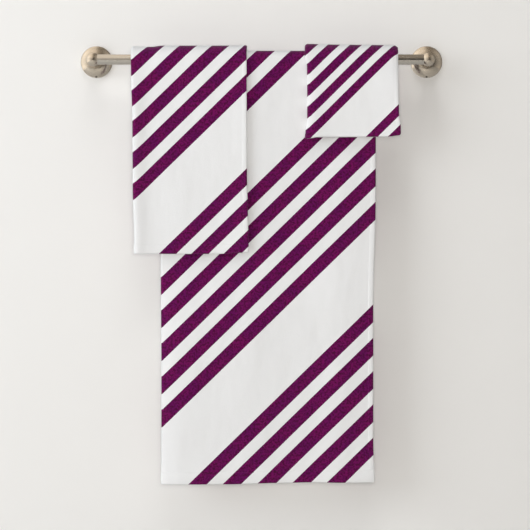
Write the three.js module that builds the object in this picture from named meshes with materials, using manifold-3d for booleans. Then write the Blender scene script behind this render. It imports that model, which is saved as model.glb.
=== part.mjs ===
// A three-piece striped towel set - bath towel, hand towel and washcloth - draped over its wall rail.
//
// Frame: millimetres, +X along the bar to the right, +Y into the wall, +Z up. The origin is on the
// wall face, midway between the two posts, at the height of the bar's axis.
//
// Each towel is folded lengthwise in half, its fold on the left, and then hung in half over the bar.
// It is an upside-down U in section: a cloth panel of two plies, an end hem under each flap, and the
// band of side hems along the open right edge. The hand towel and the washcloth hang over the bath
// towel, so the sections are nested and every towel can slide along the bar without meeting another.

import * as THREE from "three";
import { mergeVertices } from "three/addons/utils/BufferGeometryUtils.js";
import Module from "manifold-3d";

const wasm = await Module();
wasm.setup();

// ---------------------------------------------------------------------------------------- sizes

const GAP = 0.3; // between pieces that touch
const ROUND_SEGMENTS = 32;

const BAR = {
  radius: 9,
  boreRadius: 8.1,
  standoff: 65, // from the wall face to the bar's axis
  postSpacing: 592, // between the two posts' axes
  endInset: 0.8, // from a post's axis to the bar's end
};

const BUSH = { discRadius: 8.8, discThickness: 1.4, plugRadius: 7.8, plugLength: 12 };

// Heights here are measured out from the wall face.
const FLANGE = {
  radius: 28.3,
  rimHeight: 2,
  topRadius: 9,
  topHeight: 17,
  wall: 3,
  screwHoleRadius: 3.2,
  domeSteps: 9,
};

const POST = {
  footRadius: 8.6,
  footHeight: 2.4,
  neckRadius: 6.4,
  headRadius: 12,
  headSteps: 12,
  socketRadius: 9.3,
  socketFloor: 2.2, // from the post's axis, away from the bar
  screwBoreRadius: 2.9,
  screwBoreDepth: 15,
};

const POST_SCREW = { headRadius: 5, headHeight: 3, shankRadius: 2.5, shankLength: 16 };

const BRACKET = { radius: 22.5, thickness: 7.6, screwPitch: 28, counterboreDepth: 3.4 };

const WALL_SCREW = { headRadius: 4, headHeight: 2.6, shankRadius: 2, reachIntoWall: 32 };

const SET_SCREW = { radius: 2, height: 5.5, inner: 22.9, outer: 26.2, holeRadius: 2.6 };

// left and right are where the folded towel's edges hang along the bar. drop is from the bar's axis
// to the bottom edge, the same in front and behind.
const TOWELS = [
  { name: "bath_towel", layer: 0, left: -176, right: 205, thickness: 7.5, drop: 746, endHem: 21, sideHem: 11 },
  { name: "hand_towel", layer: 1, left: -227, right: -24, thickness: 7.5, drop: 340, endHem: 17, sideHem: 9 },
  { name: "washcloth", layer: 1, left: 81, right: 244, thickness: 9, drop: 134, endHem: 9, sideHem: 8 },
];

const FINISH = {
  nickel: { color: 0xb3a996, roughness: 0.32, metalness: 1 },
  zinc: { color: 0x8e8d88, roughness: 0.5, metalness: 0.9 },
  steel: { color: 0x9b9a96, roughness: 0.35, metalness: 1 },
  nylon: { color: 0xe6e4dc, roughness: 0.6, metalness: 0 },
  terry: { color: 0xe9e7e5, roughness: 0.95, metalness: 0 },
  hem: { color: 0x641253, roughness: 0.9, metalness: 0 },
};

// ------------------------------------------------------------------------------- geometry helpers

// A geometry as a manifold solid, with its shared vertices merged.
function solidOf(geometry) {
  const bare = geometry.clone();
  bare.deleteAttribute("normal");
  bare.deleteAttribute("uv");
  const merged = mergeVertices(bare, 1e-4);
  return new wasm.Manifold(
    new wasm.Mesh({
      numProp: 3,
      vertProperties: merged.attributes.position.array,
      triVerts: new Uint32Array(merged.index.array),
    }),
  );
}

// A manifold solid as a geometry.
function geometryOf(solid) {
  const mesh = solid.getMesh();
  const geometry = new THREE.BufferGeometry();
  geometry.setAttribute("position", new THREE.BufferAttribute(mesh.vertProperties, 3));
  geometry.setIndex(new THREE.BufferAttribute(mesh.triVerts, 1));
  return geometry;
}

function cut(geometry, ...tools) {
  let solid = solidOf(geometry);
  for (const tool of tools) {
    solid = solid.subtract(solidOf(tool));
  }
  return geometryOf(solid);
}

function join(...geometries) {
  let solid = solidOf(geometries[0]);
  for (const geometry of geometries.slice(1)) {
    solid = solid.add(solidOf(geometry));
  }
  return geometryOf(solid);
}

// A turned shape about the axis that points out of the wall. profile lists [radius, height] pairs,
// counter-clockwise, with heights measured out from the wall face.
function turned(profile) {
  const points = profile.map(([radius, height]) => new THREE.Vector2(radius, height));
  return new THREE.LatheGeometry(points, ROUND_SEGMENTS).rotateX(Math.PI);
}

// A cylinder along the axis that points out of the wall, from height low to height high.
function wallPin(radius, low, high, x = 0, z = 0) {
  return new THREE.CylinderGeometry(radius, radius, high - low, ROUND_SEGMENTS)
    .translate(x, -(low + high) / 2, z);
}

// A cylinder along X, from x low to x high.
function barPin(radius, low, high) {
  return new THREE.CylinderGeometry(radius, radius, high - low, ROUND_SEGMENTS)
    .rotateZ(Math.PI / 2)
    .translate((low + high) / 2, 0, 0);
}

// An outline in the plane across the bar, carried along X from x low to x high.
function alongBar(shape, low, high) {
  const geometry = new THREE.ExtrudeGeometry(shape, {
    depth: high - low,
    bevelEnabled: false,
    curveSegments: ROUND_SEGMENTS / 2,
  });
  const acrossBar = new THREE.Matrix4().makeBasis(
    new THREE.Vector3(0, 1, 0),
    new THREE.Vector3(0, 0, 1),
    new THREE.Vector3(1, 0, 0),
  );
  return geometry.applyMatrix4(acrossBar).translate(low, 0, 0);
}

// Points of an arc about [centreR, centreH], from angle a to angle b, with one radius each way.
function arcPoints(centreR, centreH, radiusR, radiusH, a, b, steps) {
  return Array.from({ length: steps + 1 }, (_, i) => {
    const angle = a + ((b - a) * i) / steps;
    return [centreR + radiusR * Math.cos(angle), centreH + radiusH * Math.sin(angle)];
  });
}

function part(name, finish, geometry) {
  const mesh = new THREE.Mesh(geometry, new THREE.MeshStandardMaterial(FINISH[finish]));
  mesh.name = name;
  return mesh;
}

// ------------------------------------------------------------------------------------- wall rail

// A cast plate that sits flat on the wall, with two counterbored screw holes one above the other.
function bracketGeometry() {
  const plate = wallPin(BRACKET.radius, 0, BRACKET.thickness);
  const holes = [-1, 1].flatMap((side) => {
    const z = (side * BRACKET.screwPitch) / 2;
    const floor = BRACKET.thickness - BRACKET.counterboreDepth;
    return [
      wallPin(WALL_SCREW.shankRadius + GAP, -1, BRACKET.thickness, 0, z),
      wallPin(WALL_SCREW.headRadius + GAP, floor, BRACKET.thickness + 1, 0, z),
    ];
  });
  return cut(plate, ...holes);
}

// A pan-head screw through the bracket, with its shank running on into the wall.
function wallScrewGeometry(side) {
  const z = (side * BRACKET.screwPitch) / 2;
  const seat = BRACKET.thickness - BRACKET.counterboreDepth + GAP;
  const head = wallPin(WALL_SCREW.headRadius, seat, seat + WALL_SCREW.headHeight, 0, z);
  const shank = wallPin(WALL_SCREW.shankRadius, -WALL_SCREW.reachIntoWall, seat + 1, 0, z);
  return join(head, shank);
}

// The domed cover: a hollow quarter-ellipse shell with a hole in its crown for the post screw and one
// in its rim, at the bottom, for the set screw.
function flangeGeometry() {
  const reach = FLANGE.radius - FLANGE.topRadius;
  const rise = FLANGE.topHeight - FLANGE.rimHeight;
  const quarter = Math.PI / 2;
  const outer = arcPoints(FLANGE.topRadius, FLANGE.rimHeight, reach, rise, 0, quarter, FLANGE.domeSteps);
  const inner = arcPoints(
    FLANGE.topRadius,
    FLANGE.rimHeight,
    reach - FLANGE.wall,
    rise - FLANGE.wall,
    quarter,
    0,
    FLANGE.domeSteps,
  );
  const rimInner = FLANGE.radius - FLANGE.wall;
  const shell = turned([
    [rimInner, 0],
    [FLANGE.radius, 0],
    ...outer,
    [FLANGE.screwHoleRadius, FLANGE.topHeight],
    [FLANGE.screwHoleRadius, FLANGE.topHeight - FLANGE.wall],
    ...inner,
    [rimInner, 0],
  ]);
  const setScrewHole = new THREE.CylinderGeometry(
    SET_SCREW.holeRadius,
    SET_SCREW.holeRadius,
    FLANGE.radius,
    ROUND_SEGMENTS / 2,
  )
    .rotateX(Math.PI / 2)
    .translate(0, -SET_SCREW.height, -FLANGE.radius);
  return cut(shell, setScrewHole);
}

function setScrewGeometry() {
  const length = SET_SCREW.outer - SET_SCREW.inner;
  return new THREE.CylinderGeometry(SET_SCREW.radius, SET_SCREW.radius, length, ROUND_SEGMENTS / 2)
    .rotateX(Math.PI / 2)
    .translate(0, -SET_SCREW.height, -(SET_SCREW.outer + SET_SCREW.inner) / 2);
}

// A post stands on the flange's crown: a foot, a slim neck and a ball head. A round socket opens on the
// side of the head that faces the other post (towardBar is +1 or -1), and the foot is bored for its screw.
function postGeometry(towardBar) {
  const base = FLANGE.topHeight + GAP;
  const neckLow = base + POST.footHeight + POST.footRadius - POST.neckRadius;
  const headCentre = BAR.standoff;
  const joinAngle = -Math.acos(POST.neckRadius / POST.headRadius);
  const profile = [
    [0, base],
    [POST.footRadius, base],
    [POST.footRadius, base + POST.footHeight],
    [POST.neckRadius, neckLow],
    ...arcPoints(0, headCentre, POST.headRadius, POST.headRadius, joinAngle, Math.PI / 2, POST.headSteps),
  ];
  profile[profile.length - 1][0] = 0;
  const reach = POST.headRadius + 1;
  const ends = [-POST.socketFloor * towardBar, reach * towardBar].sort((a, b) => a - b);
  const socket = barPin(POST.socketRadius, ...ends).translate(0, -headCentre, 0);
  const screwBore = wallPin(POST.screwBoreRadius, base - 1, base + POST.screwBoreDepth);
  return cut(turned(profile), socket, screwBore);
}

// The cap screw that pulls the post down on the flange, driven from inside the dome.
function postScrewGeometry() {
  const headTop = FLANGE.topHeight - FLANGE.wall - GAP;
  const head = wallPin(POST_SCREW.headRadius, headTop - POST_SCREW.headHeight, headTop);
  const shank = wallPin(POST_SCREW.shankRadius, headTop - 1, headTop + POST_SCREW.shankLength);
  return join(head, shank);
}

// The drawn tube, open at both ends.
function barGeometry() {
  const halfLength = BAR.postSpacing / 2 - BAR.endInset;
  const tube = barPin(BAR.radius, -halfLength, halfLength);
  const bore = barPin(BAR.boreRadius, -halfLength - 1, halfLength + 1);
  return cut(tube, bore).translate(0, -BAR.standoff, 0);
}

// A nylon end bush: a plug inside the bar and a disc between the bar's end and the socket's floor.
function bushGeometry(side) {
  const barEnd = BAR.postSpacing / 2 - BAR.endInset;
  const disc = barPin(BUSH.discRadius, barEnd + GAP, barEnd + GAP + BUSH.discThickness);
  const plug = barPin(BUSH.plugRadius, barEnd - BUSH.plugLength, barEnd + GAP + 1);
  const bush = join(disc, plug).translate(0, -BAR.standoff, 0);
  return side < 0 ? bush.rotateZ(Math.PI).translate(0, -2 * BAR.standoff, 0) : bush;
}

function railParts() {
  const group = new THREE.Group();
  group.add(part("bar", "nickel", barGeometry()));
  for (const [label, side] of [["left", -1], ["right", 1]]) {
    group.add(part(`bar_bush_${label}`, "nylon", bushGeometry(side)));
    const support = new THREE.Group();
    support.position.x = (side * BAR.postSpacing) / 2;
    support.add(
      part(`wall_bracket_${label}`, "zinc", bracketGeometry()),
      part(`wall_screw_${label}_upper`, "steel", wallScrewGeometry(1)),
      part(`wall_screw_${label}_lower`, "steel", wallScrewGeometry(-1)),
      part(`flange_${label}`, "nickel", flangeGeometry()),
      part(`set_screw_${label}`, "steel", setScrewGeometry()),
      part(`post_${label}`, "nickel", postGeometry(-side)),
      part(`post_screw_${label}`, "steel", postScrewGeometry()),
    );
    group.add(support);
  }
  return group;
}

// ---------------------------------------------------------------------------------------- towels

// The inner radius of a layer of cloth over the bar: layer 0 lies on the bar, layer 1 on layer 0.
function layerRadius(layer) {
  const bathTowel = TOWELS[0];
  return BAR.radius + GAP + layer * (bathTowel.thickness + GAP);
}

// An upside-down U about the bar's axis, open at the bottom, with both legs ending at -drop.
function saddle(inner, outer, drop) {
  const shape = new THREE.Shape();
  shape.moveTo(-outer, -drop);
  shape.lineTo(-outer, 0);
  shape.absarc(0, 0, outer, Math.PI, 0, true);
  shape.lineTo(outer, -drop);
  shape.lineTo(inner, -drop);
  shape.lineTo(inner, 0);
  shape.absarc(0, 0, inner, 0, Math.PI, false);
  shape.lineTo(-inner, -drop);
  shape.closePath();
  return shape;
}

// The flat band of an end hem. side is -1 for the front flap and +1 for the flap towards the wall.
function endHemShape(side, inner, outer, drop, height) {
  const [low, high] = side < 0 ? [-outer, -inner] : [inner, outer];
  const shape = new THREE.Shape();
  shape.moveTo(low, -drop);
  shape.lineTo(high, -drop);
  shape.lineTo(high, -drop + height);
  shape.lineTo(low, -drop + height);
  shape.closePath();
  return shape;
}

function towelParts(towel) {
  const inner = layerRadius(towel.layer);
  const outer = inner + towel.thickness;
  const sideHemLeft = towel.right - towel.sideHem;
  const clothRight = sideHemLeft - GAP;
  const clothDrop = towel.drop - towel.endHem - GAP;
  const panel = alongBar(saddle(inner, outer, clothDrop), towel.left, clothRight);
  const sideHem = alongBar(saddle(inner, outer, towel.drop), sideHemLeft, towel.right);
  const frontHem = alongBar(endHemShape(-1, inner, outer, towel.drop, towel.endHem), towel.left, clothRight);
  const backHem = alongBar(endHemShape(1, inner, outer, towel.drop, towel.endHem), towel.left, clothRight);
  const group = new THREE.Group();
  group.position.y = -BAR.standoff;
  group.add(
    part(`${towel.name}_panel`, "terry", panel),
    part(`${towel.name}_side_hem`, "hem", sideHem),
    part(`${towel.name}_front_hem`, "hem", frontHem),
    part(`${towel.name}_back_hem`, "hem", backHem),
  );
  return group;
}

// -------------------------------------------------------------------------------------- assembly

const towelSet = new THREE.Group();
towelSet.add(railParts(), ...TOWELS.map(towelParts));

export default towelSet;
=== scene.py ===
import logging
import math
from dataclasses import dataclass, field
from enum import Enum

import bpy
import numpy as np
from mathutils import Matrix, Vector


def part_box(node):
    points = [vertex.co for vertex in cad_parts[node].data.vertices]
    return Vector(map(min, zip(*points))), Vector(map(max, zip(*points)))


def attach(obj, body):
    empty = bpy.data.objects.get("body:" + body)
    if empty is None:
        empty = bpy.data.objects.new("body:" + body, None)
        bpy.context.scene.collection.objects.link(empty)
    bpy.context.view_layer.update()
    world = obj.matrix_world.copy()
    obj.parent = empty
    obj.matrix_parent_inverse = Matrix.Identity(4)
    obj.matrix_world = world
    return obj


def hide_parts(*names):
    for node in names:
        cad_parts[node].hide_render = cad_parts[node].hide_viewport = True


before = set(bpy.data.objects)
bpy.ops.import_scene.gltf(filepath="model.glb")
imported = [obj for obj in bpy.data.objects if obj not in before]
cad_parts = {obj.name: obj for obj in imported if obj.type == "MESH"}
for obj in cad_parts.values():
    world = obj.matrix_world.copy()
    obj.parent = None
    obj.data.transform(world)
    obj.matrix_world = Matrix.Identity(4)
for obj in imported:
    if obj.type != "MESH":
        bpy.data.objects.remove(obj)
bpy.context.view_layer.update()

log = logging.getLogger("bath_towel_set")

MM = 0.001
CLOTH_MAP = "CutCloth"  # UV map of a towel: metres across and along the flat cloth
FACE_SIDE = "printed_face"  # 1 on the printed face of the cloth, 0 on its reverse
PRINT_PLACE = "print_place"  # metres across the stripes, along the cloth's length


def smoothstep(x: np.ndarray, start: float, end: float) -> np.ndarray:
    """Ease from 0 at start to 1 at end.

    Formula: with t the clipped fraction of the way, the result is 3 t squared minus 2 t cubed.

    Args:
        x: Values to ease.
        start: Where the result leaves 0.
        end: Where the result reaches 1.

    Returns:
        Values from 0 to 1, in the shape of x.
    """
    t = np.clip((x - start) / (end - start), 0.0, 1.0)
    return t * t * (3.0 - 2.0 * t)


def fine_ends(length: float, pitch: float, edge: float, steps: int = 4) -> np.ndarray:
    """Spread stations over a length, close together where the rim rounds off.

    Formula: within edge of each end the stations follow one minus a cosine, elsewhere they are even.

    Args:
        length: The whole length.
        pitch: Largest distance between the even stations.
        edge: Length of the fine part at each end.
        steps: Number of steps in each fine part.

    Returns:
        Rising stations from 0 to length.
    """
    rim = edge * (1.0 - np.cos(np.linspace(0.0, math.pi / 2, steps + 1)))
    count = max(2, int(math.ceil((length - 2 * edge) / pitch)))
    middle = np.linspace(edge, length - edge, count + 1)
    return np.concatenate([rim, middle[1:-1], length - rim[::-1]])


def rim_thickness(stations: np.ndarray, edge: float) -> np.ndarray:
    """Thickness share of a cloth across its width, rounded off at both rims.

    Formula: a quarter ellipse, the root of one minus the squared share of the way back to the rim.

    Args:
        stations: Rising stations from one rim to the other.
        edge: Distance over which the rim rounds off.

    Returns:
        Shares from 0 on the rims to 1 inside.
    """
    inward = np.minimum(stations - stations[0], stations[-1] - stations) / edge
    return np.sqrt(1.0 - (1.0 - np.clip(inward, 0.0, 1.0)) ** 2)


def mesh_object(
    name: str,
    points: np.ndarray,
    faces: list[list[int]],
    flat: np.ndarray | None = None,
    numbers: dict[str, np.ndarray] | None = None,
) -> bpy.types.Object:
    """Put worked-out points and faces into a new smooth mesh object at the origin.

    Args:
        name: Name of the piece.
        points: Vertices, n by 3, in metres.
        faces: Vertex numbers of every face, three or four of them.
        flat: Position of every vertex on the flat cloth, n by 2, for the cloth map.
        numbers: Named numbers at every vertex.

    Returns:
        The new object, linked to the scene.
    """
    mesh = bpy.data.meshes.new(name)
    mesh.from_pydata(points.tolist(), [], faces)
    mesh.polygons.foreach_set("use_smooth", np.ones(len(mesh.polygons), bool))
    if flat is not None:
        corners = np.empty(len(mesh.loops), np.int32)
        mesh.loops.foreach_get("vertex_index", corners)
        layer = mesh.uv_layers.new(name=CLOTH_MAP)
        layer.uv.foreach_set("vector", flat[corners].astype(np.float32).ravel())
    for key, values in (numbers or {}).items():
        attribute = mesh.attributes.new(key, "FLOAT", "POINT")
        attribute.data.foreach_set("value", values.astype(np.float32))
    mesh.update()
    piece = bpy.data.objects.new(name, mesh)
    bpy.context.scene.collection.objects.link(piece)
    return piece


def grid_faces(n: np.ndarray) -> np.ndarray:
    """Quads that join a grid of vertex numbers.

    Args:
        n: Vertex numbers, rows by columns.

    Returns:
        Quads, four vertex numbers each.
    """
    return np.stack([n[:-1, :-1], n[1:, :-1], n[1:, 1:], n[:-1, 1:]], -1).reshape(-1, 4)


def two_faces(outer: np.ndarray, inner: np.ndarray) -> np.ndarray:
    """List a grid's values for the outer face, then another's inside values for the inner face.

    The two faces share the points of the rim, so the second grid's border is left out.

    Args:
        outer: Values on the outer face, rows by columns by depth.
        inner: Values on the inner face, in the same shape.

    Returns:
        One row for each vertex of the closed body.
    """
    depth = outer.shape[-1]
    return np.concatenate([outer.reshape(-1, depth), inner[1:-1, 1:-1].reshape(-1, depth)])


def face_out(piece: bpy.types.Object) -> None:
    """Turn a closed piece's faces outwards where they point in."""
    if signed_volume(piece.data) < 0:
        piece.data.flip_normals()


def lathe(
    name: str,
    profile: np.ndarray,
    centre: tuple[float, float, float],
    axis: str,
    segments: int = 96,
    sharp_deg: float = 40.0,
) -> bpy.types.Object:
    """Turn a profile round an axis into a closed smooth body.

    Formula: a point at distance h along the axis and r from it goes round the circle of radius r.
    A profile that starts and ends on the axis is closed by its poles, any other is joined into a ring.

    Args:
        name: Name of the piece.
        profile: Points (h, r) in order, h along the axis and r from it.
        centre: Where h is 0 on the axis.
        axis: "x" for a bar along the rail, "y" for a stem out of the wall.
        segments: Steps round the circle.
        sharp_deg: Edges that turn more than this are drawn sharp.

    Returns:
        The new object.
    """
    h, r = profile[:, 0], profile[:, 1]
    angle = np.linspace(0.0, 2 * math.pi, segments, endpoint=False)
    a = np.repeat(h[:, None], segments, 1)
    b = r[:, None] * np.cos(angle)[None, :]
    c = r[:, None] * np.sin(angle)[None, :]
    order = {"x": (a, b, c), "y": (c, a, b)}[axis]
    points = np.stack(order, -1) + np.array(centre)
    has_poles = r[0] < 1e-9 and r[-1] < 1e-9
    rows = len(h)
    numbers = np.arange(rows * segments).reshape(rows, segments)
    if has_poles:
        numbers[0] = 0
        numbers[-1] = (rows - 1) * segments
    wrapped = np.concatenate([numbers, numbers[:, :1]], 1)
    if not has_poles:
        wrapped = np.concatenate([wrapped, wrapped[:1]], 0)
    faces = grid_faces(wrapped)
    points = points.reshape(-1, 3)
    used = np.unique(faces)
    renumber = np.zeros(len(points), int)
    renumber[used] = np.arange(len(used))
    faces = [list(dict.fromkeys(face)) for face in renumber[faces].tolist()]
    piece = mesh_object(name, points[used], faces)
    piece.data.validate()
    face_out(piece)
    piece.data.set_sharp_from_angle(angle=math.radians(sharp_deg))
    return piece


def signed_volume(mesh: bpy.types.Mesh) -> float:
    """Volume of a closed mesh, negative when its faces point inwards.

    Formula: a sixth of the sum of the triple products of every triangle's corners.

    Args:
        mesh: The closed mesh.

    Returns:
        The volume in cubic metres.
    """
    mesh.calc_loop_triangles()
    points = np.empty(len(mesh.vertices) * 3)
    mesh.vertices.foreach_get("co", points)
    points = points.reshape(-1, 3)
    triangles = np.empty(len(mesh.loop_triangles) * 3, np.int32)
    mesh.loop_triangles.foreach_get("vertices", triangles)
    a, b, c = points[triangles.reshape(-1, 3)].transpose(1, 0, 2)
    return float((a * np.cross(b, c)).sum() / 6)


def rounded_profile(corners: list[tuple[float, float, float]], steps: int = 5) -> np.ndarray:
    """Profile through corner points, each rounded by its own radius.

    Formula: every corner with a radius is replaced by a circular arc that touches both of its sides.

    Args:
        corners: Points (h, r, radius) in order; a radius of 0 keeps the corner.
        steps: Steps in each arc.

    Returns:
        Profile points (h, r).
    """
    out = []
    count = len(corners)
    for i, (h, r, radius) in enumerate(corners):
        here = np.array([h, r])
        before = np.array(corners[i - 1][:2])
        after = np.array(corners[(i + 1) % count][:2])
        if radius <= 0:
            out.append(here)
            continue
        d0, d1 = before - here, after - here
        d0, d1 = d0 / np.linalg.norm(d0), d1 / np.linalg.norm(d1)
        half = math.acos(np.clip(d0 @ d1, -1, 1)) / 2
        reach = radius / math.tan(half)
        middle = (d0 + d1) / np.linalg.norm(d0 + d1)
        hub = here + middle * radius / math.sin(half)
        start, end = here + d0 * reach - hub, here + d1 * reach - hub
        sweep = math.pi - 2 * half
        turn = math.copysign(1.0, start[0] * end[1] - start[1] * end[0])
        for k in range(steps + 1):
            angle = turn * sweep * k / steps
            c, s = math.cos(angle), math.sin(angle)
            out.append(hub + np.array([c * start[0] - s * start[1], s * start[0] + c * start[1]]))
    return np.array(out)


class Graph:
    """A node tree, with short calls to add and join nodes."""

    def __init__(self, owner: bpy.types.Material | bpy.types.World) -> None:
        """Turn on and take over a material's or a world's nodes.

        Args:
            owner: The material or the world.
        """
        owner.use_nodes = True
        self.owner = owner
        self.tree = owner.node_tree

    @classmethod
    def material(cls, name: str) -> "Graph":
        """Start a material with a Principled shader."""
        return cls(bpy.data.materials.new(name))

    @property
    def shader(self) -> bpy.types.Node:
        """The material's Principled shader."""
        return self.tree.nodes["Principled BSDF"]

    def here(self) -> bpy.types.NodeSocket:
        """Place on the piece, in metres."""
        return self.add("TexCoord").outputs["Object"]

    def add(self, kind: str, inputs: dict | None = None, **settings: object) -> bpy.types.Node:
        """Add a node.

        Args:
            kind: Node type without its ShaderNode prefix.
            inputs: Values or sockets for its inputs, by name or number.
            **settings: Properties of the node.

        Returns:
            The node.
        """
        node = self.tree.nodes.new("ShaderNode" + kind)
        for key, value in settings.items():
            setattr(node, key, value)
        for key, value in (inputs or {}).items():
            self.put(node.inputs[key], value)
        return node

    def put(self, socket: bpy.types.NodeSocket, value: object) -> None:
        """Join an input to a socket, or set its value.

        Args:
            socket: The input.
            value: Socket to join it to, or its value.
        """
        if isinstance(value, bpy.types.NodeSocket):
            self.tree.links.new(value, socket)
        else:
            socket.default_value = value

    def math(self, operation: str, *values: object) -> bpy.types.NodeSocket:
        """Add a Math node.

        Args:
            operation: Name of the operation.
            *values: Up to three numbers or sockets.

        Returns:
            Its output socket.
        """
        return self.add("Math", dict(enumerate(values)), operation=operation).outputs[0]

    def mix(self, share: object, first: object, second: object) -> bpy.types.NodeSocket:
        """Mix two colours.

        Args:
            share: Share of the second colour.
            first: First colour or socket.
            second: Second colour or socket.

        Returns:
            The mixed colour's socket.
        """
        node = self.add("Mix", data_type="RGBA")
        self.put(node.inputs[0], share)
        self.put(node.inputs[6], first)
        self.put(node.inputs[7], second)
        return node.outputs[2]

    def ramp(
        self, value: object, low: float, high: float, to_low: float = 0.0, to_high: float = 1.0
    ) -> bpy.types.NodeSocket:
        """Map a range of values to another and clamp it.

        Args:
            value: Number socket.
            low: Value that becomes to_low.
            high: Value that becomes to_high.
            to_low: Result at low.
            to_high: Result at high.

        Returns:
            The mapped value's socket.
        """
        inputs = {0: value, 1: low, 2: high, 3: to_low, 4: to_high}
        return self.add("MapRange", inputs, interpolation_type="SMOOTHSTEP").outputs[0]

    def noise(
        self, where: object, scale: float, detail: float = 2.0, rough: float = 0.5
    ) -> bpy.types.NodeSocket:
        """Add a noise pattern.

        Args:
            where: Vector socket that it reads.
            scale: Cells per metre.
            detail: Octaves.
            rough: Share of the finer octaves.

        Returns:
            Its value socket.
        """
        inputs = {"Vector": where, "Scale": scale, "Detail": detail, "Roughness": rough}
        return self.add("TexNoise", inputs).outputs[0]

    def bump(
        self, height: object, distance: float, strength: float, under: object = None
    ) -> bpy.types.NodeSocket:
        """Add a bump.

        Args:
            height: Height socket, 0 to 1.
            distance: Height in metres of the full range.
            strength: How much of it shows.
            under: Normal socket of a bump below this one.

        Returns:
            The normal socket.
        """
        inputs = {"Height": height, "Distance": distance, "Strength": strength}
        if under is not None:
            inputs["Normal"] = under
        return self.add("Bump", inputs).outputs[0]

    def set(self, **values: object) -> None:
        """Set or join the shader's inputs, with underscores for spaces."""
        for key, value in values.items():
            self.put(self.shader.inputs[key.replace("_", " ")], value)


@dataclass(frozen=True)
class Stripes:
    """Diagonal stripes in groups, in metres along the cloth's length."""

    start: float
    period: float
    coloured: float
    plain: float
    slope: float
    in_group: int = 5

    @property
    def pitch(self) -> float:
        """Distance from one coloured stripe of a group to the next."""
        return self.coloured + self.plain

    @property
    def group(self) -> float:
        """Length of a whole group of coloured stripes."""
        return self.in_group * self.coloured + (self.in_group - 1) * self.plain


class Cloth(Enum):
    """Ways that a part of the towel is finished."""

    PANEL = "panel"
    HEM = "hem"


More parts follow.
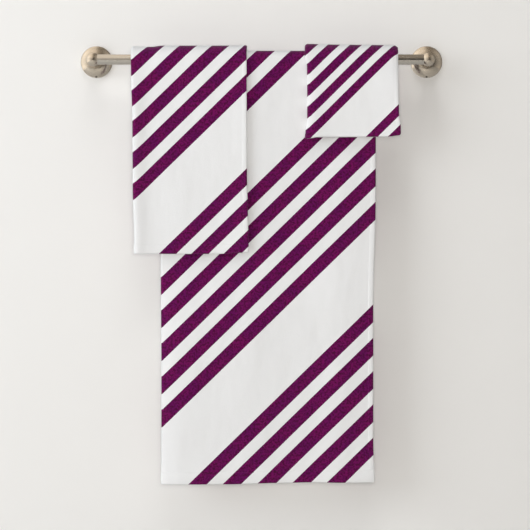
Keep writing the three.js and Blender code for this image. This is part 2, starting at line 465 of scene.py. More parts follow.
@dataclass(frozen=True)
class TerryFinish:
    """Cotton terry whose sheared face is printed with stripes; the reverse keeps its loops."""

    stripes: Stripes
    white: tuple[float, float, float, float] = (0.87, 0.868, 0.862, 1)
    reverse_white: tuple[float, float, float, float] = (0.86, 0.855, 0.845, 1)
    dye: tuple[float, float, float, float] = (0.166, 0.0030, 0.092, 1)
    dye_deep: tuple[float, float, float, float] = (0.122, 0.0022, 0.090, 1)
    dye_worn: tuple[float, float, float, float] = (0.225, 0.011, 0.125, 1)
    dye_shade: tuple[float, float, float, float] = (0.060, 0.0008, 0.030, 1)
    dim_white: tuple[float, float, float, float] = (0.80, 0.79, 0.775, 1)
    ragged: float = 1.3 * MM  # how far the edge of a stripe wanders
    ragged_scale: float = 1400.0  # cells per metre, as in the scales below
    tone_scale: float = 38.0
    mottle_scale: float = 250.0
    fibre_scale: float = 900.0
    loop_scale: float = 620.0
    rumple_scale: float = 17.0
    rumple_height: float = 9.0 * MM
    crush_scale: float = 95.0
    crush_height: float = 0.5 * MM
    pile_height: float = 0.5 * MM
    weave_height: float = 0.25 * MM

    def printed(self, g: Graph, where: object) -> bpy.types.NodeSocket:
        """Share of dye at a place on the printed face.

        Args:
            g: Graph to build in.
            where: Flat position as a vector, for the ragged edge of the print.

        Returns:
            Socket that is 1 on a coloured stripe.
        """
        s = self.stripes
        place = g.add("Attribute", attribute_name=PRINT_PLACE).outputs["Fac"]
        wander = g.math("SUBTRACT", g.noise(where, self.ragged_scale, 1.0), 0.5)
        wander = g.math("MULTIPLY", wander, self.ragged)
        phase = g.math("ADD", g.math("SUBTRACT", place, s.start), wander)
        in_period = g.math("WRAP", phase, s.period, 0.0)
        in_group = g.math("LESS_THAN", in_period, s.group)
        in_pitch = g.math("WRAP", in_period, s.pitch, 0.0)
        coloured = g.math("LESS_THAN", in_pitch, s.coloured)
        return g.math("MULTIPLY", in_group, coloured)

    def make(self, name: str, cloth: Cloth) -> bpy.types.Material:
        """Build the material.

        Args:
            name: Name of the material.
            cloth: Whether it is for the piled panel or a woven hem.

        Returns:
            The material.
        """
        g = Graph.material(name)
        flat = g.add("UVMap", uv_map=CLOTH_MAP).outputs[0]
        face = g.add("Attribute", attribute_name=FACE_SIDE).outputs["Fac"]
        face = g.ramp(face, 0.45, 0.55)
        dyed = g.math("MULTIPLY", self.printed(g, flat), face)
        tone = g.noise(flat, self.tone_scale, 3.0, 0.55)
        fibre = g.noise(flat, self.fibre_scale, 2.0, 0.6)
        dye = g.mix(g.ramp(tone, 0.35, 0.65), self.dye, self.dye_deep)
        dye = g.mix(g.ramp(fibre, 0.5, 0.85, 0.0, 0.75), dye, self.dye_worn)
        mottled = g.noise(flat, self.mottle_scale, 2.0, 0.65)
        dye = g.mix(g.ramp(mottled, 0.36, 0.6, 0.9, 0.0), dye, self.dye_shade)
        white = g.mix(face, self.reverse_white, self.white)
        dim = g.mix(0.5, white, self.dim_white)
        white = g.mix(g.ramp(fibre, 0.52, 0.2, 0.0, 0.35), white, dim)
        loops = g.add("TexVoronoi", {"Vector": flat, "Scale": self.loop_scale, "Randomness": 0.75}).outputs[0]
        piled = cloth is Cloth.PANEL
        # The reverse keeps its full loops; the sheared face and the weave show a third of them.
        loop_share = g.mix(face, (1, 1, 1, 1), (0.35, 0.35, 0.35, 1)) if piled else 0.3
        stretch = {"Vector": flat, "Scale": (1.0, 0.45, 1.0), "Rotation": (0.0, 0.0, 0.35)}
        rumpled = g.add("Mapping", stretch, vector_type="POINT").outputs[0]
        under = g.bump(g.noise(rumpled, self.rumple_scale, 2.5, 0.45), self.rumple_height, 0.5)
        crushed = g.noise(flat, self.crush_scale, 3.0, 0.6)
        under = g.bump(crushed, self.crush_height, 0.35, under)
        height = g.math("MULTIPLY", g.math("SUBTRACT", 1.0, loops), loop_share)
        height = g.math("ADD", height, g.math("MULTIPLY", fibre, 0.5))
        g.set(
            Base_Color=g.mix(dyed, white, dye),
            Roughness=g.ramp(fibre, 0.2, 0.8, 0.86, 0.98),
            Normal=g.bump(height, self.pile_height if piled else self.weave_height, 0.6, under),
            Specular_IOR_Level=0.25,
            Sheen_Weight=0.12,
            Sheen_Roughness=0.5,
        )
        return g.owner


@dataclass(frozen=True)
class BrushedMetal:
    """Plated metal with fine brush lines along one axis and faint wear."""

    colour: tuple[float, float, float, float]
    worn: tuple[float, float, float, float]
    roughness: float
    lines_along: tuple[float, float, float] = (1.0, 1.0, 1.0)
    depth: float = 0.02 * MM

    def make(self, name: str) -> bpy.types.Material:
        """Build the material.

        Args:
            name: Name of the material.

        Returns:
            The material.
        """
        g = Graph.material(name)
        where = g.here()
        stretched = g.add("Mapping", {"Vector": where, "Scale": self.lines_along}).outputs[0]
        lines = g.noise(stretched, 900.0, 3.0, 0.65)
        cloud = g.noise(where, 60.0, 2.0, 0.5)
        rough = g.ramp(lines, 0.3, 0.7, self.roughness - 0.05, self.roughness + 0.07)
        rough = g.math("ADD", rough, g.ramp(cloud, 0.3, 0.7, -0.02, 0.03))
        g.set(
            Base_Color=g.mix(g.ramp(lines, 0.35, 0.7), self.colour, self.worn),
            Metallic=1.0,
            Roughness=rough,
            Normal=g.bump(lines, self.depth, 0.35),
        )
        return g.owner


@dataclass(frozen=True)
class PlainPlastic:
    """Moulded nylon with a faint grain."""

    colour: tuple[float, float, float, float] = (0.55, 0.54, 0.50, 1)

    def make(self, name: str) -> bpy.types.Material:
        """Build the material.

        Args:
            name: Name of the material.

        Returns:
            The material.
        """
        g = Graph.material(name)
        where = g.here()
        grain = g.noise(where, 1500.0, 2.0)
        shade = tuple(0.85 * x for x in self.colour[:3]) + (1,)
        g.set(
            Base_Color=g.mix(g.ramp(grain, 0.3, 0.7), shade, self.colour),
            Roughness=0.55,
            Normal=g.bump(grain, 0.05 * MM, 0.4),
        )
        return g.owner


@dataclass(frozen=True)
class PaintedWall:
    """Matt paint of the backdrop, seen from its front only, so that views from behind see the part."""

    colour: tuple[float, float, float, float] = (0.92, 0.905, 0.875, 1)

    def make(self, name: str) -> bpy.types.Material:
        """Build the material.

        Args:
            name: Name of the material.

        Returns:
            The material.
        """
        g = Graph.material(name)
        where = g.here()
        cloud = g.noise(where, 1.2, 2.0)
        shade = tuple(0.985 * x for x in self.colour[:3]) + (1,)
        g.set(Base_Color=g.mix(cloud, self.colour, shade), Roughness=0.9, Specular_IOR_Level=0.1)
        behind = g.add("NewGeometry").outputs["Backfacing"]
        clear = g.add("BsdfTransparent").outputs[0]
        either = g.add("MixShader", {0: behind, 1: g.shader.outputs[0], 2: clear}).outputs[0]
        g.put(g.tree.nodes["Material Output"].inputs[0], either)
        return g.owner


@dataclass(frozen=True)
class PaleFloor:
    """Pale matt floor."""

    colour: tuple[float, float, float, float] = (0.74, 0.73, 0.71, 1)

    def make(self, name: str) -> bpy.types.Material:
        """Build the material.

        Args:
            name: Name of the material.

        Returns:
            The material.
        """
        g = Graph.material(name)
        where = g.here()
        shade = tuple(0.97 * x for x in self.colour[:3]) + (1,)
        g.set(Base_Color=g.mix(g.noise(where, 2.0), self.colour, shade), Roughness=0.8)
        return g.owner


@dataclass(frozen=True)
class Wander:
    """A length that changes down a flap: steps eased between stations."""

    stations: tuple[tuple[float, float], ...]

    def at(self, share: np.ndarray) -> np.ndarray:
        """Length at a share of the way.

        Formula: the first length plus every step, each eased in between its two stations.

        Args:
            share: Shares of the way, 0 to 1.

        Returns:
            Lengths in the shape of share.
        """
        total = np.full(np.shape(share), self.stations[0][1])
        for (start, low), (end, high) in zip(self.stations, self.stations[1:]):
            total = total + (high - low) * smoothstep(share, start, end)
        return total


@dataclass(frozen=True)
class Slack:
    """How far a flap's plies stand apart away from the fold, and over which depth below the bar."""

    outward: float
    inward: float
    length: float
    start: float
    end: float


@dataclass(frozen=True)
class Ridge:
    """A soft upright fold: its place along the bar, width, height and the depths where it rises."""

    x: float
    width: float
    height: float
    start: float
    end: float

    def out(self, x: np.ndarray, past: np.ndarray) -> np.ndarray:
        """Metres outwards: a bell across the flap that rises below the bar."""
        bell = np.exp(-(((x - self.x) / self.width) ** 2))
        return self.height * bell * smoothstep(past, self.start, self.end)


@dataclass
class Towel:
    """One towel, folded in half along its length and hung in half over the bar.

    The flat cloth is measured by u across it, from the free edge of the outer ply round the fold to
    the free edge of the inner ply, and by v along it, 0 on top of the bar and negative in front.
    """

    name: str
    flat_width: float
    flat_length: float
    inner_radius: float
    ply: float
    ply_gap: float
    left: Wander
    right: Wander
    drop_front: Wander
    drop_back: Wander
    fold_radius: float
    fold_outward: float
    slack: Slack
    side_hem: float
    end_hem: float
    finish: TerryFinish
    rests_on: list[str]
    wave: tuple[float, float, float]
    ridges: tuple[Ridge, ...] = ()
    inner_edge: float = -3.0 * MM
    corner: float = 3.5 * MM
    edge_curl: float = 0.0
    pinched_share: float = 0.0
    pinch: float = 0.7 * MM
    top_fall: float = 0.0
    pitch: float = 7.5 * MM
    settle: float = 6 * MM
    bar_y: float = -65.0 * MM
    hem_extra: float = 0.9 * MM
    rim: float = 1.6 * MM  # over which every cut edge rounds off
    narrow: float = 30.0 * MM  # a strip of cloth below this width is a hem
    loosen: tuple[float, float] = (15.0 * MM, 110.0 * MM)  # depths where the fold opens to its full roll
    tight_share: float = 0.15  # of the fold's roll that is left on the bar
    near_bar: float = 45.0 * MM
    stitch_step: float = 3.6 * MM
    stitch_length: float = 2.7 * MM
    stitch_width: float = 0.42 * MM
    stitch_inset: float = 1.7 * MM
    pieces: list[bpy.types.Object] = field(default_factory=list)

    @property
    def mid_radius(self) -> float:
        """Radius round the bar of the plane between the two plies."""
        return self.inner_radius + self.ply + self.ply_gap / 2

    @property
    def half_gap(self) -> float:
        """Distance of each ply's middle from the plane between the plies."""
        return (self.ply + self.ply_gap) / 2

    @property
    def outer_radius(self) -> float:
        """Radius of the outer ply's face round the bar."""
        return self.inner_radius + 2 * self.ply + self.ply_gap

    @property
    def quarter(self) -> float:
        """Length of cloth on a quarter turn of the bar."""
        return math.pi / 2 * self.mid_radius

    def across_fold(self, u: np.ndarray, past: np.ndarray) -> tuple[np.ndarray, np.ndarray, np.ndarray]:
        """Profile of the folded cloth across the towel.

        Formula: round the fold the cloth follows a half circle; beyond it each ply settles from the
        circle's radius to half the gap of the plies, plus the slack of a hanging flap.

        Args:
            u: Metres across the flat cloth.
            past: Metres below the bar.

        Returns:
            Run from the fold, run of the whole half, and distance outwards from the middle plane.
        """
        half = self.flat_width / 2
        to_fold = np.abs(u - half)
        outer = u <= half
        sign = np.where(outer, 1.0, -1.0)
        opened = self.tight_share + (1 - self.tight_share) * smoothstep(past, *self.loosen)
        radius = self.half_gap + (self.fold_radius - self.half_gap) * opened
        turn = math.pi / 2 * radius
        beyond = np.maximum(to_fold - turn, 0.0)
        fade = np.exp(-((beyond / self.settle) ** 2))
        phi = np.minimum(to_fold / radius, math.pi / 2)
        run = radius * (1 - np.cos(phi)) + beyond
        settled = self.half_gap + (radius - self.half_gap) * fade
        offset = sign * np.where(to_fold < turn, radius * np.sin(phi), settled)
        offset = offset + self.fold_outward * (radius - self.half_gap) * fade
        slack = self.slack
        swell = smoothstep(past, slack.start, slack.end) * (1 - np.exp(-beyond / slack.length))
        offset = offset + swell * np.where(outer, slack.outward, -slack.inward)
        return run, radius + half - turn, offset

    def pinched(self, share: np.ndarray, past: np.ndarray) -> np.ndarray:
        """How far the cloth is pinched thin on the bar, where nothing lies under it.

        Args:
            share: Share of the way from the fold to the free edge.
            past: Metres below the bar.

        Returns:
            1 where it is pinched, 0 elsewhere.
        """
        if self.pinched_share <= 0:
            return np.zeros(np.broadcast(share, past).shape)
        near_fold = 1 - smoothstep(share, self.pinched_share - 0.04, self.pinched_share + 0.05)
        return near_fold * (1 - smoothstep(past, 0.0, 50 * MM))

    def place(self, u: np.ndarray, v: np.ndarray) -> dict[str, np.ndarray]:
        """Place of the cloth's middle for flat coordinates, and what follows from it.

        Formula: along v the cloth runs up one side, round the bar on an arc and down the other side.
        Across it the outer ply runs to the fold, round it and back as the inner ply. Each flap then
        sways out of its plane by a few long waves that grow with the drop. The print runs straight
        down the seen height of the towel: its place is the height below the top line plus the
        stripes' slope times the way along the bar, counted on round the fold.

        Args:
            u: Metres across the flat cloth.
            v: Metres along the flat cloth, 0 on the bar.

        Returns:
            Arrays "points" (with 3 added), "ply" thickness and "print" place.
        """
        outer = u <= self.flat_width / 2
        past = np.maximum(np.abs(v) - self.quarter, 0.0)
        down = past / (self.flat_length / 2 - self.quarter)
        front = v < 0
        angle = np.clip(v / self.mid_radius, -math.pi / 2, math.pi / 2)
        run, full_run, offset = self.across_fold(u, past)
        x_left = self.left.at(down)
        x_right = self.right.at(down) + np.where(outer, 0.0, self.inner_edge)
        x = x_left + run * (x_right - x_left) / full_run
        share = run / full_run

        near_bar = np.exp(-((past / self.near_bar) ** 2))
        curl = self.edge_curl * smoothstep(x_right - x, 9 * MM, 0.0) * near_bar * outer
        thin = self.pinched(share, past)
        lowered = thin * self.pinch * (1.5 + np.clip(offset / self.half_gap, -1, 1))
        lowered = lowered + self.top_fall * share * near_bar * outer
        reach = self.mid_radius + offset + self.sway(x, past, down, front) - curl - lowered
        drop = np.where(front, self.drop_front.at(share), self.drop_back.at(share))
        y = self.bar_y + reach * np.sin(angle)
        z = reach * np.cos(angle) - down * drop

        stripes = self.finish.stripes
        height = self.outer_radius * (1 - np.cos(angle)) + down * drop
        along_bar = x_left + np.where(outer, 1.0, -1.0) * (x - x_left)
        printed = np.where(front, height, -height) + stripes.slope * along_bar
        points = np.stack([x, y, z], -1)
        return {"points": points, "ply": self.ply - self.pinch * thin, "print": printed}

    def sway(self, x: np.ndarray, past: np.ndarray, down: np.ndarray, front: np.ndarray) -> np.ndarray:
        """Distance that a flap stands off its plane.

        Formula: two waves across the flap whose crests lean a little, times a rise with the drop,
        plus the upright folds.

        Args:
            x: Places along the bar.
            past: Metres below the bar.
            down: Share of the drop.
            front: True on the front flap.

        Returns:
            Metres away from the bar.
        """
        height, length, phase = self.wave
        back_turn, lesser, shorter = 2.1, 0.45, 0.43
        turn = np.where(front, 0.0, back_turn) + phase
        first = np.cos(2 * math.pi * x / length + turn + 0.9 * down)
        second = lesser * np.cos(2 * math.pi * x / (shorter * length) + 1.7 * turn - 1.3 * down)
        rise = smoothstep(past, 20 * MM, 0.45 * self.flat_length)
        lean = -1.0 if self.fold_outward < 0 else 1.0
        most = 1 + lesser
        waves = 0.5 * height * rise * (lean * most + first + second) / most
        return waves + sum(ridge.out(x, past) for ridge in self.ridges)

    def rounded_rows(self, us: np.ndarray, vs: np.ndarray) -> tuple[np.ndarray, np.ndarray]:
        """Grid of flat coordinates whose rows shorten at the cut's rounded corners.

        Formula: within the corner radius of an end, a row is inset as a quarter circle is.

        Args:
            us: Stations across the whole cloth.
            vs: Stations along it.

        Returns:
            Grids of u and of v, across by along.
        """
        to_end = self.flat_length / 2 - np.abs(vs)
        near = np.clip(1 - to_end / self.corner, 0.0, 1.0)
        inset = self.corner * (1 - np.sqrt(1 - near**2))
        share = us[:, None] / self.flat_width
        u = inset[None, :] + share * (self.flat_width - 2 * inset[None, :])
        return u, np.repeat(vs[None, :], len(us), 0)

    def normals(self, u: np.ndarray, v: np.ndarray) -> np.ndarray:
        """Unit normals of the middle surface, out of the printed face.

        Formula: the cross product of the small steps along and across the cloth.

        Args:
            u: Metres across.
            v: Metres along.

        Returns:
            Normals, in the shape of u with 3 added.
        """
        step = 0.05 * MM
        across = self.place(u + step, v)["points"] - self.place(u - step, v)["points"]
        along = self.place(u, v + step)["points"] - self.place(u, v - step)["points"]
        normal = np.cross(along, across)
        return normal / np.linalg.norm(normal, axis=-1, keepdims=True)

    def solid(
        self, name: str, u: np.ndarray, v: np.ndarray, extra: np.ndarray, share: np.ndarray
    ) -> bpy.types.Object:
        """Closed cloth body from a grid of flat coordinates.

        Formula: the middle surface is moved out and in along its normal by half the thickness, and both
        faces share the points of the rim, where the thickness is nothing.

        Args:
            name: Name of the piece.
            u: Grid of metres across.
            v: Grid of metres along.
            extra: Grid of thickness beyond the ply's own.
            share: Grid of the share of the thickness, 0 on the rim.

        Returns:
            The piece.
        """
        place = self.place(u, v)
        centre = place["points"]
        shift = self.normals(u, v) * ((place["ply"] + extra) * share)[..., None] / 2
        rows, columns = u.shape
        outer = np.arange(rows * columns).reshape(rows, columns)
        inner = outer.copy()
        inside = (rows - 2) * (columns - 2)
        inner[1:-1, 1:-1] = rows * columns + np.arange(inside).reshape(rows - 2, columns - 2)
        points = two_faces(centre + shift, centre - shift)
        printed = place["print"][..., None]
        on_face = np.ones(printed.shape)
        numbers = {
            FACE_SIDE: two_faces(on_face, 0 * on_face).ravel(),
            PRINT_PLACE: two_faces(printed, printed).ravel(),
        }
        faces = np.concatenate([grid_faces(outer)[:, ::-1], grid_faces(inner)]).tolist()
        flat = np.stack([u, v], -1)
        piece = mesh_object(name, points, faces, two_faces(flat, flat), numbers)
        face_out(piece)
        return piece

    @staticmethod
    def with_bend(even: np.ndarray, bend: np.ndarray) -> np.ndarray:
        """Put a bend's fine stations in place of the even ones round it.

        Args:
            even: Rising stations of the whole strip.
            bend: Rising stations of the bend.

        Returns:
            Rising stations of both.
        """
        keep = (even < bend[0] - 2 * MM) | (even > bend[-1] + 2 * MM)
        return np.sort(np.concatenate([even[keep], bend]))

    def across_stations(self, first: float, last: float, pitch: float) -> np.ndarray:
        """Stations across the cloth, closer together round the fold.

        Args:
            first: First station.
            last: Last station.
            pitch: Largest step.

        Returns:
            Rising stations.
        """
        even = first + fine_ends(last - first, pitch, self.rim)
        half = self.flat_width / 2
        if not first < half < last:
            return even
        loop = math.pi / 2 * self.fold_radius + 16 * MM
        return self.with_bend(even, half + np.linspace(-loop, loop, 45))

    def along_stations(self, first: float, last: float, pitch: float) -> np.ndarray:
        """Stations along the cloth, closer together over the bar.

        Args:
            first: First station.
            last: Last station.
            pitch: Largest step.

        Returns:
            Rising stations.
        """
        even = first + fine_ends(last - first, pitch, self.rim)
        if not first < 0 < last:
            return even
        bend = np.linspace(-self.quarter, self.quarter, 37)
        return self.with_bend(even, np.concatenate([bend[:1] - 4 * MM, bend, bend[-1:] + 4 * MM]))

    def patch(
        self, name: str, across: tuple[float, float], along: tuple[float, float], extra: float
    ) -> bpy.types.Object:
        """Closed piece of cloth over a rectangle of the flat cut.

        Formula: a hem's extra thickness swells across the hem as half a sine wave.

        Args:
            name: Name of the piece.
            across: First and last metre across.
            along: First and last metre along.
            extra: Thickness added to the ply's own, 0 for the panel.

        Returns:
            The piece.
        """
        wide, long = across[1] - across[0], along[1] - along[0]
        us = self.across_stations(*across, 2.0 * MM if wide < self.narrow else self.pitch)
        vs = self.along_stations(*along, 2.5 * MM if long < self.narrow else self.pitch * 1.1)
        u, v = self.rounded_rows(us, vs)
        share = np.minimum(rim_thickness(us, self.rim)[:, None], rim_thickness(vs, self.rim)[None, :])
        swell = np.zeros(u.shape)
        if min(wide, long) < self.narrow:
            low, high, at = (*across, u) if wide < long else (*along, v)
            swell = extra * (0.3 + 0.7 * np.sin(math.pi * np.clip((at - low) / (high - low), 0, 1)))
        return self.solid(name, u, v, swell, share)

    def stitches(self, name: str) -> bpy.types.Object:
        """Rows of short stitches along the inner side of every hem, on the printed face.

        Formula: each stitch is a small spindle of three rings along the row; its section is an ellipse
        that lies on the cloth, half sunk in it.

        Args:
            name: Name of the piece.

        Returns:
            The piece.
        """
        w, wide = self.flat_width, self.stitch_width
        in_side = self.side_hem - self.stitch_inset
        in_end = self.flat_length / 2 - self.end_hem + self.stitch_inset
        upright = np.arange(-in_end, in_end, self.stitch_step)
        level = np.arange(4 * MM, w - 4 * MM, self.stitch_step)
        sides, ends = np.full(len(upright), in_side), np.full(len(level), in_end)
        u = np.concatenate([sides, w - sides, level, level])
        v = np.concatenate([upright, upright, ends, -ends])
        turned = np.concatenate([np.zeros(2 * len(upright)), np.ones(2 * len(level))])[:, None]
        du = self.stitch_length / 2 * turned[:, 0]
        dv = self.stitch_length / 2 * (1 - turned[:, 0])
        here = self.place(u, v)
        normal = self.normals(u, v)
        along = self.place(u + du, v + dv)["points"] - self.place(u - du, v - dv)["points"]
        aside = np.cross(normal, along)
        aside /= np.linalg.norm(aside, axis=-1, keepdims=True)
        lift = (here["ply"] + 0.55 * self.hem_extra) / 2
        centre = here["points"] + normal * lift[:, None]
        rings = np.array([[-0.5, 0.02], [-0.28, 0.85], [0.0, 1.0], [0.28, 0.85], [0.5, 0.02]])
        turn = np.linspace(0, 2 * math.pi, 6, endpoint=False)
        offsets = (
            along[:, None, None] * rings[None, :, None, :1]
            + aside[:, None, None] * (wide * rings[:, 1:] * np.cos(turn))[None, :, :, None]
            + normal[:, None, None] * (0.75 * wide * rings[:, 1:] * np.sin(turn))[None, :, :, None]
        )
        points = (centre[:, None, None] + offsets).reshape(-1, 3)
        one = np.arange(30).reshape(5, 6)
        one = grid_faces(np.concatenate([one, one[:, :1]], 1))
        caps = [[0, 1, 2, 3], [0, 3, 4, 5], [24, 27, 26, 25], [24, 29, 28, 27]]
        one = np.concatenate([one, caps])
        faces = (one[None] + 30 * np.arange(len(u))[:, None, None]).reshape(-1, 4).tolist()
        numbers = {FACE_SIDE: np.ones(len(points)), PRINT_PLACE: np.repeat(here["print"], 30)}
        piece = mesh_object(name, points, faces, np.repeat(np.stack([u, v], -1), 30, 0), numbers)
        face_out(piece)
        return piece

    def build(self) -> None:
        """Make the panel, the hems and the stitching, and parent them to the towel's body."""
        w, half = self.flat_width, self.flat_length / 2
        tuck = 1.0 * MM
        end = half - self.end_hem
        extra = self.hem_extra
        panel = self.patch(f"{self.name}_cloth", (tuck, w - tuck), (tuck - half, half - tuck), 0.0)
        front = self.patch(f"{self.name}_front_end_hem", (0, w), (-half, -end), extra)
        back = self.patch(f"{self.name}_back_end_hem", (0, w), (end, half), extra)
        outer = self.patch(f"{self.name}_outer_side_hem", (0, self.side_hem), (-end, end), extra)
        inner = self.patch(f"{self.name}_inner_side_hem", (w - self.side_hem, w), (-end, end), extra)
        thread = self.stitches(f"{self.name}_stitching")
        self.pieces = [panel, front, back, outer, inner, thread]
        for piece in self.pieces:
            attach(piece, self.name)
        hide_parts(f"{self.name}_panel")
        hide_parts(f"{self.name}_front_hem")
        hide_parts(f"{self.name}_back_hem")
        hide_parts(f"{self.name}_side_hem")

    def dress(self) -> None:
        """Give the panel its piled finish, and the hems and the stitches the woven one."""
        piled = self.finish.make(f"{self.name}_terry", Cloth.PANEL)
        woven = self.finish.make(f"{self.name}_hem_cloth", Cloth.HEM)
        self.pieces[0].data.materials.append(piled)
        for hem in self.pieces[1:]:
            hem.data.materials.append(woven)


@dataclass
class Rail:
    """Wall rail: a tube between two posts with ball heads, each on a domed flange."""

    bar_radius: float = 9.0 * MM
    standoff: float = 65.0 * MM
    head_radius: float = 12.0 * MM
    neck_radius: float = 6.4 * MM
    foot_radius: float = 8.6 * MM
    flange_radius: float = 28.3 * MM
    flange_rim: float = 2.0 * MM
    flange_top_radius: float = 9.0 * MM
    flange_height: float = 17.0 * MM
    wall: float = 3.0 * MM
    socket_radius: float = 2.1 * MM
    socket_out: float = 7.4 * MM
    socket_down: float = 26.2 * MM
    # Near-black finish of the dark lens that paints the shade inside each set screw's hole.
    hole_shade: BrushedMetal = BrushedMetal((0.035, 0.032, 0.03, 1), (0.06, 0.055, 0.05, 1), 0.45)
    nickel: BrushedMetal = BrushedMetal(
        (0.60, 0.555, 0.485, 1), (0.67, 0.625, 0.555, 1), 0.20, (0.04, 1.0, 1.0)
    )
    nickel_turned: BrushedMetal = BrushedMetal((0.63, 0.55, 0.445, 1), (0.70, 0.62, 0.515, 1), 0.22)
    zinc: BrushedMetal = BrushedMetal((0.52, 0.53, 0.54, 1), (0.62, 0.63, 0.64, 1), 0.5, depth=0.06 * MM)
    steel: BrushedMetal = BrushedMetal(
        (0.56, 0.56, 0.57, 1), (0.66, 0.66, 0.67, 1), 0.32, (1.0, 0.1, 1.0)
    )
    nylon: PlainPlastic = PlainPlastic()
    pieces: dict[str, bpy.types.Object] = field(default_factory=dict)

    def build_bar(self) -> None:
        """Tube along the rail, its ends inside the ball heads."""
        low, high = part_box("bar")
        half = (high[0] - low[0]) / 2
        middle = (high[0] + low[0]) / 2
        bore = self.bar_radius - 0.9 * MM
        corners = [
            (-half, bore, 0.1 * MM),
            (-half, self.bar_radius, 0.3 * MM),
            (half, self.bar_radius, 0.3 * MM),
            (half, bore, 0.1 * MM),
        ]
        profile = rounded_profile(corners, 4)
        bar = lathe("rail_bar", profile, (middle, -self.standoff, 0.0), "x")
        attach(bar, "bar")
        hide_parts("bar")
        self.pieces["bar"] = bar

    def flange_profile(self) -> np.ndarray:
        """Profile of the flange shell.

        Formula: outside, a quarter ellipse from the rim to the top; inside, the same less the wall.

        Returns:
            Closed profile points (h, r), h out of the wall.
        """
        t = np.linspace(0.0, math.pi / 2, 28)
        wide = self.flange_radius - self.flange_top_radius
        high = self.flange_height - self.flange_rim
        out_r = self.flange_top_radius + wide * np.cos(t)
        out_h = self.flange_rim + high * np.sin(t)
        in_r = self.flange_top_radius + (wide - self.wall) * np.cos(t[::-1])
        in_h = self.flange_rim + (high - self.wall) * np.sin(t[::-1])
        outer = np.stack([out_h, out_r], -1)
        inner = np.stack([in_h, in_r], -1)
        foot_h = np.array([0.35, 0.35, 0.75]) * MM
        foot_r = self.flange_radius - np.array([3.0, 0.4, 0.0]) * MM
        foot = np.stack([foot_h, foot_r], -1)
        return np.concatenate([foot, outer, inner])

    def head_profile(self) -> np.ndarray:
        """Profile of a post: its foot on the flange, its flared stem and its ball.

        Formula: the stem narrows from foot to neck by an eased step, and the ball is a circle's arc.

        Returns:
            Profile points (h, r) from pole to pole, h out of the wall.
        """
        base = self.flange_height + 0.3 * MM
        flare = np.linspace(0.0, 1.0, 12)
        ease = flare * flare * (3 - 2 * flare)
        stem_h = base + 2.4 * MM + flare * 5.0 * MM
        stem_r = self.foot_radius + (self.neck_radius - self.foot_radius) * ease
        join = math.asin(self.neck_radius / self.head_radius)
        t = np.linspace(join, math.pi, 44)
        ball_h = self.standoff - self.head_radius * np.cos(t)
        ball_r = self.head_radius * np.sin(t)
        ball_r[-1] = 0.0
        foot_h = base + np.array([0.0, 0.0, 0.15, 0.5]) * MM
        foot_r = self.foot_radius - np.array([0.0, 0.5, 0.15, 0.0]) * MM
        foot_r[0] = 0.0
        parts = [(foot_h, foot_r), (stem_h, stem_r), (ball_h, ball_r)]
        return np.concatenate([np.stack(part, -1) for part in parts])

    def socket_profile(self) -> np.ndarray:
        """Profile of a dark lens, flush in the flange's lower side, that paints the shade inside the mouth of
        the set screw's hole.

        Formula: an ellipse turned round the hole's axis, a fifth flatter along it.

        Returns:
            Profile points (h, r) from pole to pole.
        """
        t = np.linspace(0.0, math.pi, 14)
        radius = self.socket_radius * np.sin(t)
        radius[[0, -1]] = 0.0
        return np.stack([-0.8 * self.socket_radius * np.cos(t), radius], -1)

    def build_ends(self) -> None:
        """Flange and post at each end of the bar."""
        for side in ("left", "right"):
            low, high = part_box(f"flange_{side}")
            x = (low[0] + high[0]) / 2
            z = (low[2] + high[2]) / 2
            outward = np.array([-1, 1])  # h grows out of the wall, towards smaller y
            flange = lathe(f"domed_flange_{side}", self.flange_profile() * outward, (x, 0.0, z), "y")
            post = lathe(f"ball_post_{side}", self.head_profile() * outward, (x, 0.0, z), "y")
            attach(flange, "rail")
            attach(post, "rail")
            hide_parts(f"flange_{side}")
            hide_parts(f"post_{side}")
            # A dark lens in the flange's lower side paints the shade inside the set screw's hole.
            mouth = (x, -self.socket_out, z - self.socket_down)
            socket = lathe(f"screw_hole_shade_{side}", self.socket_profile(), mouth, "y")
            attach(socket, "rail")
            self.pieces[f"socket_{side}"] = socket
            self.pieces[f"flange_{side}"] = flange
            self.pieces[f"post_{side}"] = post

    def build(self) -> None:
        """Make the visible smooth pieces of the rail."""
        self.build_bar()
        self.build_ends()

    def dress(self) -> None:
        """Give every visible piece and every kept part its finish; the dark lens in each flange gets a
        near-black finish that paints the shade inside the set screw's hole.
        """
        lined = self.nickel.make("brushed_nickel_bar")
        turned = self.nickel_turned.make("brushed_nickel_turned")
        zinc = self.zinc.make("cast_zinc")
        steel = self.steel.make("screw_steel")
        nylon = self.nylon.make("nylon")
        # This near-black finish paints the shade inside the set screw's hole.
        dark = self.hole_shade.make("painted_hole_shade")
        finishes = {"bar": lined, "socket": dark, "flange": turned, "post": turned}
        for name, piece in self.pieces.items():
            piece.data.materials.append(finishes[name.split("_")[0]])
        kept = {
            "wall_bracket": zinc,
            "wall_screw": steel,
            "set_screw": steel,
            "post_screw": steel,
            "bar_bush": nylon,
        }
        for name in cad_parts:
            for start, material in kept.items():
                if name.startswith(start):
                    self.paint(name, material)

    def paint(self, name: str, material: bpy.types.Material) -> None:
        """Put a material in every slot of a kept part.

        Args:
            name: Name of the part's node.
            material: The material.
        """
        node = bpy.data.objects[name]
        for slot in node.material_slots:
            slot.material = material


